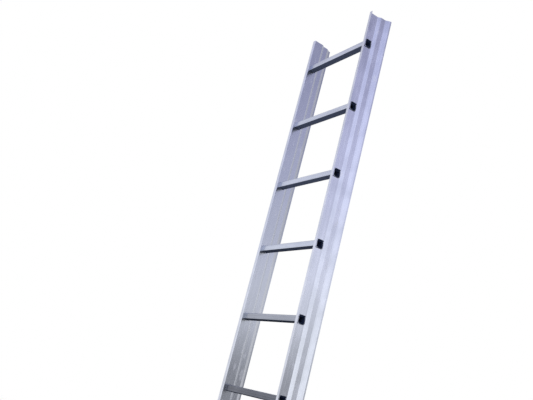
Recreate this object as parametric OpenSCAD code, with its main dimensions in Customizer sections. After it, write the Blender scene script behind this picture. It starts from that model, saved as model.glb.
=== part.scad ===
// Straight single-section aluminium ladder: two stepped stiles, square rungs swaged through them, and shoes.
// X runs along the rungs, the climbing side faces -Y, and Z runs up the stiles from the floor.

/* [Ladder] */
// Number of rungs
rung_count = 10; // [4:1:14]
// Distance between rung centres
rung_pitch = 280; // [220:1:320]
// Clear width between the inner faces of the stiles
clear_w = 366; // [280:1:480]
// Height of the lowest rung's centre above the floor
first_rung_h = 280; // [200:1:340]
// Length of stile above the centre of the top rung
top_over = 133; // [60:1:300]

/* [Stile section] */
// Wall thickness of the extrusion
web_t = 2; // [1.5:0.1:3]
// Width of the front flange, outwards from the inner face
flange_w = 15; // [8:0.5:24]
// Distance that the middle web sits outwards of the front web
step_out = 8.6; // [4:0.1:14]
// Distance that the front slope takes from front to back
step_run = 12.3; // [8:0.1:18]
// Width of the middle web, between the two slopes
near_band_w = 21; // [12:0.5:30]
// Distance that the rear lip sits outwards of the middle web
flare_out = 11.2; // [5:0.1:16]
// Distance that the rear slope takes from front to back
flare_run = 17.7; // [10:0.1:24]
// Width of the rear lip
edge_w = 6; // [4:0.5:12]
// Bend radius between the front flange and the web, at the middle of the wall
flange_bend_r = 2.5; // [1.5:0.1:4]
// Bend radius at both ends of each slope, at the middle of the wall
slope_bend_r = 3.5; // [1.5:0.1:5]

/* [Rungs] */
// Rung size from front to back
rung_d = 27; // [22:0.5:34]
// Rung size from top to bottom
rung_h = 24; // [20:0.5:34]
// Wall thickness of the rung tube
rung_wall = 1.8; // [1.2:0.1:2.4]
// Outer corner radius of the rung tube
rung_corner_r = 3; // [2.6:0.1:6]
// Gap between the rung and the edge of its hole in the stile
rung_fit = 0.15; // [0.05:0.05:0.3]
// Distance that the inner bead stands out around the rung
bead_out = 1.5; // [0.8:0.1:3]
// Thickness of the inner bead along the rung
bead_t = 3; // [1.5:0.1:6]
// Distance that the outer lip stands out in front of and behind the rung
lip_out = 2; // [1:0.1:3]
// Distance that the outer lip stands out above and below the rung
lip_rise = 5; // [1.5:0.1:8]
// Thickness of the outer lip along the rung
lip_t = 2.5; // [1.5:0.1:4]
// Width of the lip's rim around the open mouth
lip_rim = 1.2; // [0.8:0.1:1.8]
// Room between the front flange and the lip
lip_front_gap = 8.5; // [3:0.5:14]
// Room between the lip and the front slope
lip_back_gap = 1.5; // [1.5:0.1:6]
// Number of ribs along the tread
rib_count = 5; // [3:1:7]
// Width of a tread rib
rib_w = 1.6; // [1:0.1:2.4]
// Height of a tread rib
rib_out = 0.6; // [0.3:0.1:1.2]

/* [Feet] */
// Thickness of the sole under the stile
sole_t = 12; // [8:0.5:20]
// Height of the sleeve above the sole
sleeve_h = 70; // [50:1:100]
// Wall thickness of the sleeve
sleeve_wall = 4; // [2.5:0.1:6]
// Gap between the stile and the sleeve
sleeve_fit = 0.2; // [0.1:0.05:0.4]
// Distance that the shoe stays in front of the stile's rear edge, which rests on the wall or the roof
heel_back = 0.5; // [0.2:0.1:3]
// Radius of the shoe's upright corners
shoe_corner_r = 4; // [1:0.5:8]
// Number of tread grooves across the sole
groove_count = 6; // [3:1:8]
// Width of a tread groove
groove_w = 5; // [3:0.5:7]
// Depth of a tread groove
groove_depth = 3; // [1:0.5:5]

/* [Rivets] */
// Diameter of the rivet shank
rivet_d = 4.8; // [3.2:0.1:6.4]
// Gap around the rivet shank in its holes
rivet_fit = 0.05; // [0.02:0.01:0.2]
// Diameter of the rivet's head and of its formed tail
rivet_head_d = 9.5; // [8:0.1:12]
// Height of the rivet's head and of its formed tail
rivet_head_h = 1.8; // [1:0.1:3]
// Distance from the sleeve's rim to the upper rivet, and from the sole to the lower one
rivet_edge = 20; // [12:1:24]

/* [Hidden] */
// Extra length of every cut past the face that it leaves
overrun = 1;
// Thickness of the slice that starts a flared mouth
slice = 0.01;
// Least radius that is left on the hollow side of a bend in a thick wall
least_bend_r = 0.5;
// Number of flats that a bend is made of
bend_flats = 6;
// Share of a rivet head's radius that is left flat on top
head_flat_share = 0.55;
// Share of a rivet head's height that its straight edge takes
head_edge_share = 0.35;

half_clear = clear_w / 2;
rung_front = web_t + lip_front_gap + lip_out;
step_y = rung_front + rung_d + lip_out + lip_back_gap;
rear_y = step_y + step_run;
crease_y = rear_y + near_band_w;
edge_y = crease_y + flare_run;
stile_d = edge_y + edge_w;
sleeve_grow = sleeve_fit + sleeve_wall;
shoe_d = sleeve_grow + stile_d - heel_back;
stile_front_y = (sleeve_grow - stile_d) / 2;
rung_y = stile_front_y + rung_front + rung_d / 2;
top_z = first_rung_h + (rung_count - 1) * rung_pitch + top_over;
section_w = web_t + step_out + flare_out;
shoe_w = section_w + 2 * sleeve_grow;
rivet_grip = web_t + 2 * sleeve_grow;
rivet_y = stile_front_y + (web_t + step_y) / 2;
rivet_heights = [sole_t + rivet_edge, sole_t + sleeve_h - rivet_edge];

STILE_COLOUR = [0.74, 0.75, 0.82];
RUNG_COLOUR = [0.70, 0.71, 0.76];
FOOT_COLOUR = [0.13, 0.13, 0.14];
RIVET_COLOUR = [0.66, 0.67, 0.70];

function rung_name(i) = str("rung_", i < 10 ? "0" : "", i);
function rung_z(i) = first_rung_h + (i - 1) * rung_pitch;

// Middle line of the stile's wall before bending.
// Each point is a distance outwards from the inner face and a distance back from the front.
stile_line = [
    [flange_w, web_t / 2],
    [web_t / 2, web_t / 2],
    [web_t / 2, step_y],
    [web_t / 2 + step_out, rear_y],
    [web_t / 2 + step_out, crease_y],
    [section_w - web_t / 2, edge_y],
    [section_w - web_t / 2, stile_d]
];

// One side of a line of points, moved off it sideways, with mitred corners
function unit(v) = v / norm(v);
function along(line, i) = unit(line[i + 1] - line[i]);
function side(v) = [-v[1], v[0]];
function mitre(a, b) = (a + b) / (1 + a * b);
function corner(line, i) =
    let (
        last = len(line) - 1,
        before = side(along(line, max(i - 1, 0))),
        after = side(along(line, min(i, last - 1)))
    )
    mitre(before, after);
function edge(line, offset) = [for (i = [0:len(line) - 1]) line[i] + offset * corner(line, i)];

// Points of a bend that replaces corner i of a line
function turned(v, angle) = [v[0] * cos(angle) - v[1] * sin(angle), v[0] * sin(angle) + v[1] * cos(angle)];
function bend(line, i, r) =
    let (
        before = along(line, i - 1),
        after = along(line, i),
        hand = sign(before[0] * after[1] - before[1] * after[0]),
        angle = acos(before * after),
        spoke = -hand * r * side(before),
        centre = line[i] - r * tan(angle / 2) * before - spoke
    )
    [for (k = [0:bend_flats]) centre + turned(spoke, hand * angle * k / bend_flats)];

// Middle line with its bends, for a wall of the given half thickness, with both ends moved on by grow
function bent_line(half, grow) =
    let (
        last = len(stile_line) - 1,
        inside = [for (i = [1:last - 1]) stile_line[i]],
        line = concat([stile_line[0] + [grow, 0]], inside, [stile_line[last] + [0, grow]]),
        flange_r = max(flange_bend_r, half + least_bend_r),
        slope_r = max(slope_bend_r, half + least_bend_r)
    )
    concat(
        [line[0]],
        bend(line, 1, flange_r),
        [for (i = [2:last - 1]) each bend(line, i, slope_r)],
        [line[last]]
    );

// Outline of the stile's wall, grown all round: back along its inner side, then forward along its outer side
function stile_outline(grow) =
    let (
        half = web_t / 2 + grow,
        line = bent_line(half, grow),
        last = len(line) - 1,
        inner = edge(line, half),
        outer = edge(line, -half)
    )
    concat(inner, [for (i = [last:-1:0]) outer[i]]);

// Section of a stile, grown all round for the sleeve and its slot
module stile_section(grow = 0) {
    polygon(stile_outline(grow));
}

// Rectangle with round corners
module rounded_rect(w, h, r) {
    square([w - 2 * r, h], center = true);
    square([w, h - 2 * r], center = true);
    for (x = [-1, 1], y = [-1, 1])
        translate([x * (w / 2 - r), y * (h / 2 - r)])
            circle(r, $fn = 32);
}

// Length of the rung's outline along X, grown by out all round, or by rise above and below
module rung_bar(x, length, out = 0, rise = undef) {
    up = is_undef(rise) ? out : rise;
    translate([x, rung_y, 0])
        rotate([90, 0, 90])
            linear_extrude(length)
                rounded_rect(rung_d + 2 * out, rung_h + 2 * up, rung_corner_r + out);
}

module both_sides() {
    children();
    mirror([1, 0, 0]) children();
}

// Stiles
module stile_right() {
    color(STILE_COLOUR)
        difference() {
            translate([half_clear, stile_front_y, sole_t])
                linear_extrude(top_z - sole_t)
                    stile_section();
            for (i = [1:rung_count])
                translate([0, 0, rung_z(i)])
                    rung_bar(half_clear - overrun, web_t + 2 * overrun, rung_fit);
            for (z = rivet_heights)
                rivet_hole(z);
        }
}

module stile_left() {
    mirror([1, 0, 0]) stile_right();
}

// Rungs
module rung_mouth() {
    lip_x = half_clear + web_t;
    hull() {
        rung_bar(lip_x, slice, -rung_wall);
        rung_bar(lip_x + lip_t, overrun, lip_out - lip_rim, lip_rise - lip_rim);
    }
}

module rung_ribs() {
    rib_end = half_clear - bead_t / 2;
    rib_pitch = (rung_d - 2 * rung_corner_r) / rib_count;
    root_z = (rung_h - rung_wall) / 2;
    for (i = [1:rib_count])
        translate([-rib_end, rung_y + (i - (rib_count + 1) / 2) * rib_pitch - rib_w / 2, root_z])
            cube([2 * rib_end, rib_w, rung_wall / 2 + rib_out]);
}

module rung(i) {
    body_end = half_clear + web_t;
    color(RUNG_COLOUR)
        translate([0, 0, rung_z(i)])
            difference() {
                union() {
                    rung_bar(-body_end, 2 * body_end);
                    rung_ribs();
                    both_sides() {
                        rung_bar(half_clear - bead_t, bead_t, bead_out);
                        rung_bar(body_end, lip_t, lip_out, lip_rise);
                    }
                }
                rung_bar(-body_end - lip_t - overrun, 2 * (body_end + lip_t + overrun), -rung_wall);
                both_sides() rung_mouth();
            }
}

// Feet
module shoe_place(z) {
    translate([half_clear - sleeve_grow, stile_front_y - sleeve_grow, z])
        children();
}

module shoe_block(height) {
    shoe_place(0)
        translate([shoe_w / 2, shoe_d / 2, 0])
            linear_extrude(height)
                rounded_rect(shoe_w, shoe_d, shoe_corner_r);
}

module sole_grooves() {
    groove_pitch = shoe_d / groove_count;
    for (i = [1:groove_count])
        shoe_place(-overrun)
            translate([-overrun, (i - 1 / 2) * groove_pitch - groove_w / 2, 0])
                cube([shoe_w + 2 * overrun, groove_w, groove_depth + overrun]);
}

// Sleeve round the front and both sides of the stile, open at the stile's rear edge
module sleeve() {
    intersection() {
        translate([half_clear, stile_front_y, 0])
            linear_extrude(sole_t + sleeve_h)
                stile_section(sleeve_grow);
        shoe_block(sole_t + sleeve_h);
    }
}

module foot_right() {
    color(FOOT_COLOUR)
        difference() {
            union() {
                shoe_block(sole_t);
                sleeve();
            }
            translate([half_clear, stile_front_y, sole_t])
                linear_extrude(sleeve_h + overrun)
                    stile_section(sleeve_fit);
            sole_grooves();
            for (z = rivet_heights)
                rivet_hole(z);
        }
}

module foot_left() {
    mirror([1, 0, 0]) foot_right();
}

// Rivets
module rivet_place(z) {
    translate([half_clear - sleeve_grow, rivet_y, z])
        rotate([0, 90, 0])
            children();
}

module rivet_hole(z) {
    rivet_place(z)
        translate([0, 0, -overrun])
            cylinder(d = rivet_d + 2 * rivet_fit, h = rivet_grip + 2 * overrun, $fn = 48);
}

module rivet_head() {
    head_r = rivet_head_d / 2;
    rotate_extrude($fn = 48)
        polygon([
            [0, 0],
            [head_r, 0],
            [head_r, head_edge_share * rivet_head_h],
            [head_flat_share * head_r, rivet_head_h],
            [0, rivet_head_h]
        ]);
}

module rivet(z) {
    rivet_place(z) {
        cylinder(d = rivet_d, h = rivet_grip, $fn = 48);
        translate([0, 0, rivet_grip]) rivet_head();
        mirror([0, 0, 1]) rivet_head();
    }
}

module rivets_right() {
    color(RIVET_COLOUR)
        for (z = rivet_heights)
            rivet(z);
}

module rivets_left() {
    mirror([1, 0, 0]) rivets_right();
}

stile_left();  // left_stile
stile_right();  // right_stile
for (i = [1:rung_count])
    rung(i);
foot_left();  // left_foot
foot_right();  // right_foot
rivets_left();  // left_foot_rivets
rivets_right();  // right_foot_rivets
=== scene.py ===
import math

import bpy
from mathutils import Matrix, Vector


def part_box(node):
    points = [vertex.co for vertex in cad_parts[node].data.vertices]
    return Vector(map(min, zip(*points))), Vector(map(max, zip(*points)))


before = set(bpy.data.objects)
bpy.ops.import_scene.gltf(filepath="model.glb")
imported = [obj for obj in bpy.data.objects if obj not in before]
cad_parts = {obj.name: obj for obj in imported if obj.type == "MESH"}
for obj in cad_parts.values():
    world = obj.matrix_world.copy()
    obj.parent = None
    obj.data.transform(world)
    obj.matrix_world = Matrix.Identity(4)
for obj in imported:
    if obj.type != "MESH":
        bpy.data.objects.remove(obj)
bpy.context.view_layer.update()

# Camera: place in metres, turn in degrees, focal length and sensor width in millimetres
CAMERA_PLACE = (2.171, -1.380, 1.3525)
CAMERA_TURN = (107.173, -14.455, 56.629)
CAMERA_LENS = 46.236
CAMERA_SENSOR = 36.0


class Nodes:
    """Short calls for the nodes of a material or a world."""

    def __init__(self, tree):
        self.tree = tree
        self.coords = tree.nodes.new("ShaderNodeTexCoord")

    def put(self, slot, item):
        """Links a socket, or sets a constant."""
        if isinstance(item, bpy.types.NodeSocket):
            self.tree.links.new(item, slot)
        elif slot.type == "RGBA":
            slot.default_value = (*item, 1.0)
        else:
            slot.default_value = item

    def value(self, operation, *inputs):
        """Result of a math operation on sockets or constants."""
        node = self.tree.nodes.new("ShaderNodeMath")
        node.operation = operation
        for slot, item in zip(node.inputs, inputs):
            self.put(slot, item)
        return node.outputs[0]

    def axes(self, kind):
        """The three parts of a texture coordinate."""
        node = self.tree.nodes.new("ShaderNodeSeparateXYZ")
        self.tree.links.new(self.coords.outputs[kind], node.inputs[0])
        return node.outputs[0], node.outputs[1], node.outputs[2]

    def band(self, source, low, high):
        """Smooth step from 0 at low to 1 at high."""
        node = self.tree.nodes.new("ShaderNodeMapRange")
        node.interpolation_type = "SMOOTHSTEP"
        self.put(node.inputs["Value"], source)
        node.inputs["From Min"].default_value = low
        node.inputs["From Max"].default_value = high
        return node.outputs[0]

    def blend(self, share, first, second):
        """Colour between two, by a share from 0 to 1."""
        node = self.tree.nodes.new("ShaderNodeMix")
        node.data_type = "RGBA"
        self.put(node.inputs["Factor"], share)
        for name, colour in (("A", first), ("B", second)):
            slot = [s for s in node.inputs if s.name == name and s.type == "RGBA"][0]
            self.put(slot, colour)
        return [s for s in node.outputs if s.type == "RGBA"][0]

    def weighted(self, sources, weights, start=0.0):
        """Sum of sockets, each times its weight."""
        total = start
        for source, weight in zip(sources, weights):
            total = self.value("MULTIPLY_ADD", source, weight, total)
        return total

    def distance(self, first, second):
        """Distance from two offsets at right angles."""
        squares = [self.value("POWER", offset, 2.0) for offset in (first, second)]
        return self.value("SQRT", self.value("ADD", *squares))


class Finish(Nodes):
    """A node material on one Principled shader."""

    def __init__(self, name, constants):
        self.material = bpy.data.materials.new(name)
        self.material.use_nodes = True
        super().__init__(self.material.node_tree)
        self.surface = self.tree.nodes["Principled BSDF"]
        for socket, value in constants.items():
            self.surface.inputs[socket].default_value = value

    def feed(self, socket, source):
        """Links a source to the shader."""
        self.tree.links.new(source, self.surface.inputs[socket])

    def noise(self, scales, detail, distortion=0.0):
        """Noise on object coordinates, with its own scale along each axis."""
        mapping = self.tree.nodes.new("ShaderNodeMapping")
        mapping.inputs["Scale"].default_value = scales
        self.tree.links.new(self.coords.outputs["Object"], mapping.inputs["Vector"])
        node = self.tree.nodes.new("ShaderNodeTexNoise")
        node.inputs["Scale"].default_value = 1.0
        node.inputs["Detail"].default_value = detail
        node.inputs["Distortion"].default_value = distortion
        self.tree.links.new(mapping.outputs[0], node.inputs["Vector"])
        return node.outputs["Fac"]

    def bump(self, height, depth):
        """Relief from a height of 0 to 1, with a depth in metres."""
        node = self.tree.nodes.new("ShaderNodeBump")
        node.inputs["Strength"].default_value = 1.0
        node.inputs["Distance"].default_value = depth
        self.tree.links.new(height, node.inputs["Height"])
        self.feed("Normal", node.outputs[0])


class Room(Nodes):
    """A world whose light is given by direction."""

    def __init__(self, name):
        self.world = bpy.data.worlds.new(name)
        self.world.use_nodes = True
        super().__init__(self.world.node_tree)

    def ramp(self, source, stops, interpolation):
        """Colours along a value, constant before the first stop and after the last."""
        low, high = stops[0][0], stops[-1][0]
        place = self.tree.nodes.new("ShaderNodeMapRange")
        place.inputs["From Min"].default_value = low
        place.inputs["From Max"].default_value = high
        self.tree.links.new(source, place.inputs["Value"])
        node = self.tree.nodes.new("ShaderNodeValToRGB")
        node.color_ramp.interpolation = interpolation
        elements = node.color_ramp.elements
        while len(elements) < len(stops):
            elements.new(1.0)
        for element, (value, colour) in zip(elements, stops):
            element.position = (value - low) / (high - low)
            element.color = (*colour, 1.0)
        self.tree.links.new(place.outputs[0], node.inputs[0])
        return node.outputs[0]


# Finishes
# Colours are linear. A noise has waves a metre along X, Y and Z, then detail, then distortion if any.
# A tone has the weights of its noises, and a span of sums over which it goes from dull to light.
# A roughness has a start, and the weights of what is added to it.
NOISE_MEAN = 0.5
# Part of a normal along an axis, from where a face starts to count as looking that way to where it fully does
AGAINST_AXIS = (-0.5, -0.9)
DOWNWARDS = (-0.10, -0.40)
SQUARE_ON = (0.90, 0.97)
# Relief of drawn metal: weights of lines and streaks, and the depth in metres
DRAWN_RELIEF = (0.7, 0.3)
DRAWN_DEPTH = 0.00002

# Stiles
STILE_LIGHT = (0.72, 0.74, 0.81)
STILE_DULL = (0.60, 0.62, 0.68)
STILE_LINES = ((900.0, 900.0, 1.5), 2.0)
STILE_STREAKS = ((130.0, 130.0, 0.8), 3.0)
STILE_PATCHES = ((20.0, 20.0, 12.0), 4.0)
STILE_TONE = (0.5, 0.7, 1.6)
STILE_TONE_SPAN = (1.05, 1.75)
STILE_ROUGHNESS = 0.17
STILE_ROUGHNESS_WEIGHTS = (0.08, 0.10, 0.10)
# Scuffs: span of their noise over which they appear, and their share
SCUFF_LIGHT = (0.80, 0.81, 0.85)
SCUFF_NOISE = ((70.0, 70.0, 22.0), 5.0, 0.25)
SCUFF_SPAN = (0.60, 0.72)
SCUFF_SHARE = 0.35
# Inner faces: painted shade on them, and places along Y in metres between which it goes darker, where they
# flare out
INNER_SHADE = (0.46, 0.48, 0.53)
INNER_REAR_SHADE = (0.32, 0.335, 0.375)
INNER_REAR_Y = (0.026, 0.032)
# Share of the painted shade where it is full and lower down where it is thinner, and the heights in metres
# between these
INNER_SHADE_SHARE = 0.80
INNER_SHADE_LOW_SHARE = 0.42
INNER_SHADE_HEIGHTS = (2.06, 1.78)
# Painted shade low on a stile: its colour, heights in metres between which it sets in, and shares at the mean
# of a patch
LOW_SHADE = (0.05, 0.05, 0.06)
LOW_SHADE_HEIGHTS = (1.66, 1.43)
INNER_LOW_SHADE = 0.32
OUTER_LOW_SHADE = 0.25
# Places along Y in metres between which the painted shade on the outer faces ends, at the step
LOW_SHADE_END_Y = (0.002, -0.006)


def inner_face(finish):
    """1 on the faces of a stile that look towards the rungs."""
    side = finish.value("SIGN", finish.axes("Object")[0])
    return finish.band(finish.value("MULTIPLY", finish.axes("Normal")[0], side), *AGAINST_AXIS)


def shade_inside(finish, plain):
    """Paints shade on a stile's inner faces, less of it lower down."""
    y, z = finish.axes("Object")[1:]
    painted_shade = finish.blend(finish.band(y, *INNER_REAR_Y), INNER_SHADE, INNER_REAR_SHADE)
    lower_down = finish.band(z, *INNER_SHADE_HEIGHTS)
    share = finish.value("MULTIPLY_ADD", lower_down, INNER_SHADE_LOW_SHARE - INNER_SHADE_SHARE, INNER_SHADE_SHARE)
    return finish.blend(finish.value("MULTIPLY", inner_face(finish), share), plain, painted_shade)


def shade_low_down(finish, patches):
    """Share of patchy painted shade low on a stile: on flat inner faces, and on the outer one before the
    step.
    """
    y, z = finish.axes("Object")[1:]
    inner = finish.value("MULTIPLY", inner_face(finish), INNER_LOW_SHADE / NOISE_MEAN)
    outer = finish.value("MULTIPLY", finish.band(y, *LOW_SHADE_END_Y), OUTER_LOW_SHADE / NOISE_MEAN)
    flat = finish.band(finish.value("ABSOLUTE", finish.axes("Normal")[0]), *SQUARE_ON)
    shade_mask = finish.value("MAXIMUM", inner, outer)
    for part in (patches, flat, finish.band(z, *LOW_SHADE_HEIGHTS)):
        shade_mask = finish.value("MULTIPLY", shade_mask, part)
    return shade_mask


def stile_aluminium():
    """Mill-finish extrusion: die lines along Z, dull patches, painted shade on the inner faces and low on the
    stile, and light scuffs.
    """
    finish = Finish("stile_aluminium", {"Metallic": 1.0})
    lines = finish.noise(*STILE_LINES)
    streaks = finish.noise(*STILE_STREAKS)
    patches = finish.noise(*STILE_PATCHES)
    scuffs = finish.band(finish.noise(*SCUFF_NOISE), *SCUFF_SPAN)
    light = finish.band(finish.weighted((lines, streaks, patches), STILE_TONE), *STILE_TONE_SPAN)
    # Painted shade on the inner faces
    colour = shade_inside(finish, finish.blend(light, STILE_DULL, STILE_LIGHT))
    # Painted shade low on the stile
    colour = finish.blend(shade_low_down(finish, patches), colour, LOW_SHADE)
    colour = finish.blend(finish.value("MULTIPLY", scuffs, SCUFF_SHARE), colour, SCUFF_LIGHT)
    rough = finish.weighted((lines, patches, scuffs), STILE_ROUGHNESS_WEIGHTS, STILE_ROUGHNESS)
    finish.feed("Base Color", colour)
    finish.feed("Roughness", rough)
    finish.bump(finish.weighted((lines, streaks), DRAWN_RELIEF), DRAWN_DEPTH)
    return finish.material


# Rungs
RUNG_LIGHT = (0.66, 0.69, 0.76)
RUNG_DULL = (0.54, 0.57, 0.64)
RUNG_LINES = ((1.5, 900.0, 900.0), 2.0)
RUNG_STREAKS = ((1.0, 160.0, 160.0), 3.0)
RUNG_PATCHES = ((11.0, 14.0, 14.0), 4.0)
RUNG_TONE = (0.5, 0.7, 0.8)
RUNG_TONE_SPAN = (0.70, 1.30)
RUNG_ROUGHNESS = 0.17
RUNG_ROUGHNESS_WEIGHTS = (0.08, 0.12, 0.45)
# Painted shade on the fronts of the lower rungs and on the undersides: heights in metres between which each
# goes from none to full, then its colours
FRONT_SHADE_HEIGHTS = (2.00, 1.40)
UNDERSIDE_SHADE_HEIGHTS = (2.30, 1.68)
FRONT_SHADE_DARK = (0.105, 0.110, 0.130)
FRONT_SHADE_LIGHT = (0.190, 0.200, 0.235)
# Painted shade on the undersides, darker on the lower rungs
UNDERSIDE_SHADE = (0.064, 0.078, 0.122)
UNDERSIDE_DEEP_SHADE = (0.022, 0.028, 0.045)
# Ends, with painted shade in the hollow and in the flared mouth: in metres the half sizes of the hollow and
# of the flared mouth, and the flare's length along the rung
BORE_SHADE = (0.034, 0.048, 0.105)
BORE_HALF = (0.0120, 0.0105)
MOUTH_SHADE = (0.010, 0.015, 0.032)
MOUTH_HALF = (0.0140, 0.0166)
FLARE_LENGTH = 0.0027
# The painted shade of a mouth leans back towards its foot by this slope, and sits lower by this many metres
MOUTH_LEAN = 0.10
MOUTH_DROP = 0.0008
# Power that rounds the corners of the painted shade in a mouth, and the sums of powers between which it fades
MOUTH_ROUNDING = 4.0
MOUTH_FADE = (1.5, 0.5)


def middle(node):
    """Middle of a CAD node's box."""
    low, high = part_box(node)
    return [(a + b) / 2 for a, b in zip(low, high)]


# Places of the rungs and the foot rivets, from the frame
rung_middle = middle("rung_01")
rung_pitch = middle("rung_02")[2] - rung_middle[2]
rung_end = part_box("rung_01")[1][0]
rivet_y = middle("right_foot_rivets")[1]


def within(finish, y, z, half):
    """1 where a point lies within half sizes of the rung's middle line."""
    across = finish.value("LESS_THAN", finish.value("ABSOLUTE", y), half[0])
    up = finish.value("LESS_THAN", finish.value("ABSOLUTE", z), half[1])
    return finish.value("MULTIPLY", across, up)


def within_oval(finish, y, z, half):
    """Fades from 1 to 0 about a rounded rectangle of half sizes on the rung's middle line."""
    parts = []
    for offset, limit in ((y, half[0]), (z, half[1])):
        share = finish.value("DIVIDE", finish.value("ABSOLUTE", offset), limit)
        parts.append(finish.value("POWER", share, MOUTH_ROUNDING))
    return finish.band(finish.value("ADD", *parts), *MOUTH_FADE)


def rung_hollow(finish):
    """Two masks for painted shade: the hollow of a rung, and the sides of its flared mouths."""
    x, y, z = finish.axes("Object")
    y = finish.value("SUBTRACT", y, rung_middle[1])
    z = finish.value("SUBTRACT", z, rung_middle[2])
    z = finish.value("WRAP", z, rung_pitch / 2, -rung_pitch / 2)
    bore = within(finish, y, z, BORE_HALF)
    outer = finish.value("GREATER_THAN", finish.value("ABSOLUTE", x), rung_end - FLARE_LENGTH)
    leaning = finish.value("MULTIPLY_ADD", z, MOUTH_LEAN, y)
    lowered = finish.value("ADD", z, MOUTH_DROP)
    return bore, finish.value("MULTIPLY", outer, within_oval(finish, leaning, lowered, MOUTH_HALF))


def rung_colour(finish, light, below):
    """Plain tone, with painted shade on the fronts of the lower rungs and on the undersides."""
    height = finish.axes("Object")[2]
    front = finish.band(finish.axes("Normal")[1], *AGAINST_AXIS)
    front_shade_share = finish.value("MULTIPLY", front, finish.band(height, *FRONT_SHADE_HEIGHTS))
    plain = finish.blend(light, RUNG_DULL, RUNG_LIGHT)
    front_shaded = finish.blend(front_shade_share, plain, finish.blend(light, FRONT_SHADE_DARK, FRONT_SHADE_LIGHT))
    painted_underside = finish.blend(finish.band(height, *UNDERSIDE_SHADE_HEIGHTS), UNDERSIDE_SHADE, UNDERSIDE_DEEP_SHADE)
    return finish.blend(below, front_shaded, painted_underside)


def rung_aluminium():
    """Drawn tube: die lines along X, painted shade in the hollow and the mouths, and below, where it is also
    non-metal and rougher.
    """
    finish = Finish("rung_aluminium", {"Specular IOR Level": 0.0})
    lines = finish.noise(*RUNG_LINES)
    streaks = finish.noise(*RUNG_STREAKS)
    patches = finish.noise(*RUNG_PATCHES)
    light = finish.band(finish.weighted((lines, streaks, patches), RUNG_TONE), *RUNG_TONE_SPAN)
    below = finish.band(finish.axes("Normal")[2], *DOWNWARDS)
    bore, mouth = rung_hollow(finish)
    # Painted shade in the flared mouths, and below in the hollow of the rung
    colour = finish.blend(mouth, rung_colour(finish, light, below), MOUTH_SHADE)
    painted_shade = finish.value("MAXIMUM", below, finish.value("MAXIMUM", bore, mouth))
    finish.feed("Base Color", finish.blend(bore, colour, BORE_SHADE))
    finish.feed("Metallic", finish.value("SUBTRACT", 1.0, painted_shade))
    finish.feed("Roughness", finish.weighted((lines, patches, painted_shade), RUNG_ROUGHNESS_WEIGHTS, RUNG_ROUGHNESS))
    finish.bump(finish.weighted((lines, streaks), DRAWN_RELIEF), DRAWN_DEPTH)
    return finish.material


# Shoes
RUBBER = (0.022, 0.022, 0.024)
RUBBER_WORN = (0.085, 0.083, 0.080)
RUBBER_GRAIN = ((1400.0, 1400.0, 1400.0), 3.0)
RUBBER_PATCHES = ((60.0, 60.0, 60.0), 4.0)
RUBBER_ROUGHNESS = 0.52
RUBBER_ROUGHNESS_WEIGHTS = (0.10, 0.12)
# Depth of the grain and height of the worn zone in metres, and the span of the patches over which wear shows
GRAIN_DEPTH = 0.00008
WEAR_HEIGHT = 0.020
WEAR_SPAN = (0.35, 0.65)


def foot_rubber():
    """Moulded rubber: fine grain, greyer where it wears on the ground."""
    finish = Finish("foot_rubber", {"Metallic": 0.0})
    grain = finish.noise(*RUBBER_GRAIN)
    patches = finish.noise(*RUBBER_PATCHES)
    low = finish.band(finish.axes("Object")[2], WEAR_HEIGHT, 0.0)
    worn = finish.value("MULTIPLY", low, finish.band(patches, *WEAR_SPAN))
    finish.feed("Base Color", finish.blend(worn, RUBBER, RUBBER_WORN))
    finish.feed("Roughness", finish.weighted((grain, patches), RUBBER_ROUGHNESS_WEIGHTS, RUBBER_ROUGHNESS))
    finish.bump(grain, GRAIN_DEPTH)
    return finish.material


# Rivets
RIVET_LIGHT = (0.58, 0.59, 0.62)
RIVET_DULL = (0.46, 0.47, 0.50)
RIVET_GRAIN = ((700.0, 700.0, 700.0), 3.0)
RIVET_ROUGHNESS = 0.28
RIVET_ROUGHNESS_WEIGHTS = (0.15,)
# Heights of the heads above the floor, and the radii between which the painted shade of the mandrel's hole
# fades, in metres
RIVET_HEIGHTS = (0.032, 0.062)
MANDREL_RADII = (0.0015, 0.0011)
# Painted shade in the mandrel's hole
MANDREL_HOLE_SHADE = (0.12, 0.12, 0.13)


def rivet_aluminium():
    """Plain rivet with painted shade of the mandrel's hole in the middle of the head."""
    finish = Finish("rivet_aluminium", {"Metallic": 1.0})
    grain = finish.noise(*RIVET_GRAIN)
    y, z = finish.axes("Object")[1:]
    aside = finish.value("SUBTRACT", y, rivet_y)
    heights = [finish.value("ABSOLUTE", finish.value("SUBTRACT", z, height)) for height in RIVET_HEIGHTS]
    away = finish.distance(aside, finish.value("MINIMUM", *heights))
    plain = finish.blend(grain, RIVET_DULL, RIVET_LIGHT)
    finish.feed("Base Color", finish.blend(finish.band(away, *MANDREL_RADII), plain, MANDREL_HOLE_SHADE))
    finish.feed("Roughness", finish.weighted((grain,), RIVET_ROUGHNESS_WEIGHTS, RIVET_ROUGHNESS))
    return finish.material


def dress(word, material):
    """Gives the CAD nodes whose names start or end with a word their finish."""
    for name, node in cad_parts.items():
        if name.startswith(word) or name.endswith(word):
            node.data.materials.clear()
            node.data.materials.append(material)


def add_object(name, data):
    """New object in the scene."""
    item = bpy.data.objects.new(name, data)
    bpy.context.scene.collection.objects.link(item)
    return item


def add_camera():
    """Camera at the photograph's viewing angle."""
    data = bpy.data.cameras.new("camera")
    data.sensor_width = CAMERA_SENSOR
    data.lens = CAMERA_LENS
    camera = add_object("camera", data)
    camera.location = CAMERA_PLACE
    camera.rotation_euler = [math.radians(angle) for angle in CAMERA_TURN]
    bpy.context.scene.camera = camera


# Studio room: walls over a white backdrop, each laid over what comes before it
BACKDROP_WHITE = (1.0, 1.0, 1.0)
CEILING_WHITE = (1.0, 1.0, 1.0)
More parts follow.
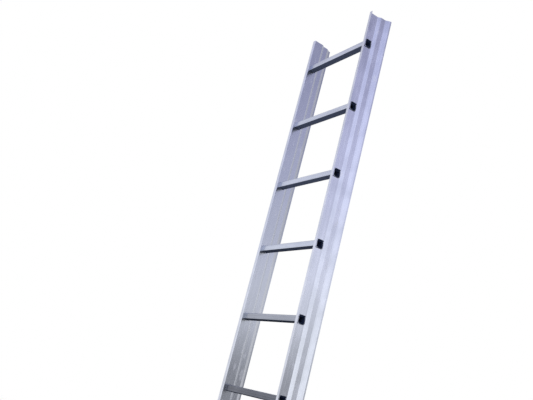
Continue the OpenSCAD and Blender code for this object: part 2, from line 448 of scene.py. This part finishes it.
# Radiance of each wall by the sine of the elevation
REAR_RIGHT = (
    (-0.30, (0.51, 0.51, 0.53)),
    (0.00, (0.42, 0.43, 0.44)),
    (0.09, (0.42, 0.43, 0.44)),
    (0.14, (1.22, 1.25, 1.29)),
    (0.18, (1.12, 1.15, 1.24)),
    (0.30, (0.75, 0.77, 1.00)),
    (0.39, (0.65, 0.66, 0.93)),
    (0.47, (0.52, 0.52, 0.77)),
    (0.53, (0.36, 0.36, 0.56)),
    (0.66, (0.30, 0.30, 0.42)),
    (0.82, CEILING_WHITE),
)
FRONT_RIGHT = (
    (-0.30, (0.68, 0.68, 0.70)),
    (0.00, (1.20, 1.23, 1.24)),
    (0.10, (1.24, 1.27, 1.28)),
    (0.20, (1.05, 1.08, 1.17)),
    (0.30, (0.92, 0.96, 1.20)),
    (0.39, (0.85, 0.87, 1.18)),
    (0.47, (0.92, 0.94, 1.29)),
    (0.53, (0.47, 0.50, 0.84)),
    (0.66, (0.40, 0.42, 0.60)),
    (0.82, CEILING_WHITE),
)
FRONT_LEFT = (
    (-0.30, (0.68, 0.68, 0.70)),
    (0.00, (0.90, 0.91, 0.93)),
    (0.14, (0.98, 0.99, 1.05)),
    (0.24, (0.94, 0.97, 1.08)),
    (0.33, (0.84, 0.85, 0.97)),
    (0.41, (0.76, 0.78, 0.86)),
    (0.49, (0.77, 0.77, 0.90)),
    (0.66, (0.60, 0.60, 0.70)),
    (0.82, CEILING_WHITE),
)
WALLS = (REAR_RIGHT, FRONT_RIGHT, FRONT_LEFT)
# Shares of the three walls by the angle from +X towards +Y, in degrees
WALL_SHARES = (
    (-174.0, (0.0, 0.0, 0.0)),
    (-155.0, (0.0, 0.0, 1.0)),
    (-120.0, (0.0, 0.0, 1.0)),
    (-75.0, (0.0, 1.0, 0.0)),
    (-15.0, (0.0, 1.0, 0.0)),
    (22.0, (1.0, 0.0, 0.0)),
    (48.0, (1.0, 0.0, 0.0)),
    (74.0, (0.4, 0.0, 0.0)),
    (106.0, (0.4, 0.0, 0.0)),
    (121.0, (0.0, 0.0, 0.0)),
)


def add_world():
    """Plain room that lights the object from all sides."""
    room = Room("studio")
    x, y, z = room.axes("Generated")
    turns = [(math.radians(angle), shares) for angle, shares in WALL_SHARES]
    shares = room.tree.nodes.new("ShaderNodeSeparateColor")
    room.put(shares.inputs[0], room.ramp(room.value("ARCTAN2", y, x), turns, "EASE"))
    colour = BACKDROP_WHITE
    for share, stops in zip(shares.outputs, WALLS):
        colour = room.blend(share, colour, room.ramp(z, stops, "LINEAR"))
    background = room.tree.nodes["Background"]
    room.put(background.inputs["Color"], colour)
    background.inputs["Strength"].default_value = 1.0
    bpy.context.scene.world = room.world


# Floor: a pale disc, with its radius and the radius from which it fades out, in metres
FLOOR_RADIUS = 18.0
FLOOR_FADE = 6.0
FLOOR_SIDES = 96
FLOOR_PALE = (0.83, 0.82, 0.79)
FLOOR_SHADE = (0.80, 0.79, 0.76)
FLOOR_PATCHES = ((1.3, 1.3, 1.3), 2.0)
FLOOR_ROUGHNESS = 0.9


def floor_finish():
    """Pale matt floor, see-through towards its rim."""
    finish = Finish("floor_pale", {"Roughness": FLOOR_ROUGHNESS})
    away = finish.distance(*finish.axes("Object")[:2])
    finish.feed("Alpha", finish.band(away, FLOOR_RADIUS, FLOOR_FADE))
    finish.feed("Base Color", finish.blend(finish.noise(*FLOOR_PATCHES), FLOOR_SHADE, FLOOR_PALE))
    return finish.material


def add_floor():
    """Disc on the ground that carries the object's shadow."""
    mesh = bpy.data.meshes.new("floor")
    rim = []
    for i in range(FLOOR_SIDES):
        angle = math.tau * i / FLOOR_SIDES
        rim.append((FLOOR_RADIUS * math.cos(angle), FLOOR_RADIUS * math.sin(angle), 0.0))
    mesh.from_pydata(rim, [], [tuple(range(FLOOR_SIDES))])
    mesh.materials.append(floor_finish())
    add_object("floor", mesh)


dress("_stile", stile_aluminium())
dress("rung_", rung_aluminium())
dress("_foot", foot_rubber())
dress("_rivets", rivet_aluminium())
add_camera()
add_world()
add_floor()
bpy.context.scene.view_settings.view_transform = "Standard"
